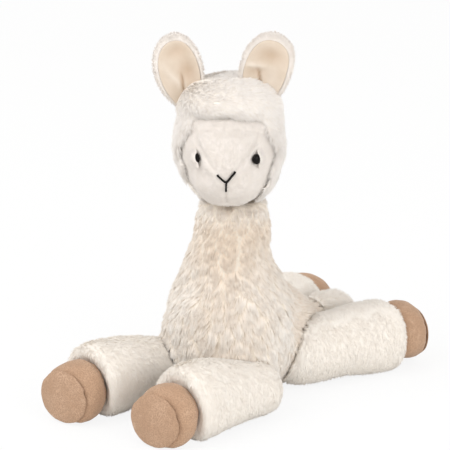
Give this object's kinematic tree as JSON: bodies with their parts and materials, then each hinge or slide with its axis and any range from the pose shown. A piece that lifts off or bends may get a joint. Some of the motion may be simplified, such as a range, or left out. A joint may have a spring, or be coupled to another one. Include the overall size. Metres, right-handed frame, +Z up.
{
  "type": "plush llama",
  "caption": "Stuffed llama toy lying on its belly, upright neck, leaf-shaped ears, floppy spread legs with suede hooves.",
  "frame": {"origin": "on the floor, in the middle of the flat spot under the chest that the belly rests on", "axes": "+Z up; the toy's body faces -Y and its left side is +X; the head is turned towards +X"},
  "size_m": [0.2147, 0.3622, 0.3328],
  "materials": {
    "plush_cream": "long cream pile",
    "face_cream": "short cream pile",
    "lining_cream": "smooth velour",
    "hoof_suede": "suedette",
    "eye_black": "polished",
    "washer_white": "moulded",
    "thread_black": "thick embroidery thread"
  },
  "bodies": {
    "root": {"body": "plush_cream", "head": "plush_cream", "face": "face_cream", "ear_left": "plush_cream", "ear_right": "plush_cream", "ear_lining_left": "lining_cream", "ear_lining_right": "lining_cream", "eye_left": "eye_black", "eye_right": "eye_black", "eye_washer_left": "washer_white", "eye_washer_right": "washer_white", "nose_stitch": "thread_black", "tail": "plush_cream", "leg_front_left": "plush_cream", "hoof_front_left": "hoof_suede", "sole_front_left": "hoof_suede", "leg_front_right": "plush_cream", "hoof_front_right": "hoof_suede", "sole_front_right": "hoof_suede", "leg_hind_left": "plush_cream", "hoof_hind_left": "hoof_suede", "sole_hind_left": "hoof_suede", "leg_hind_right": "plush_cream", "hoof_hind_right": "hoof_suede", "sole_hind_right": "hoof_suede"}
  },
  "joints": []
}
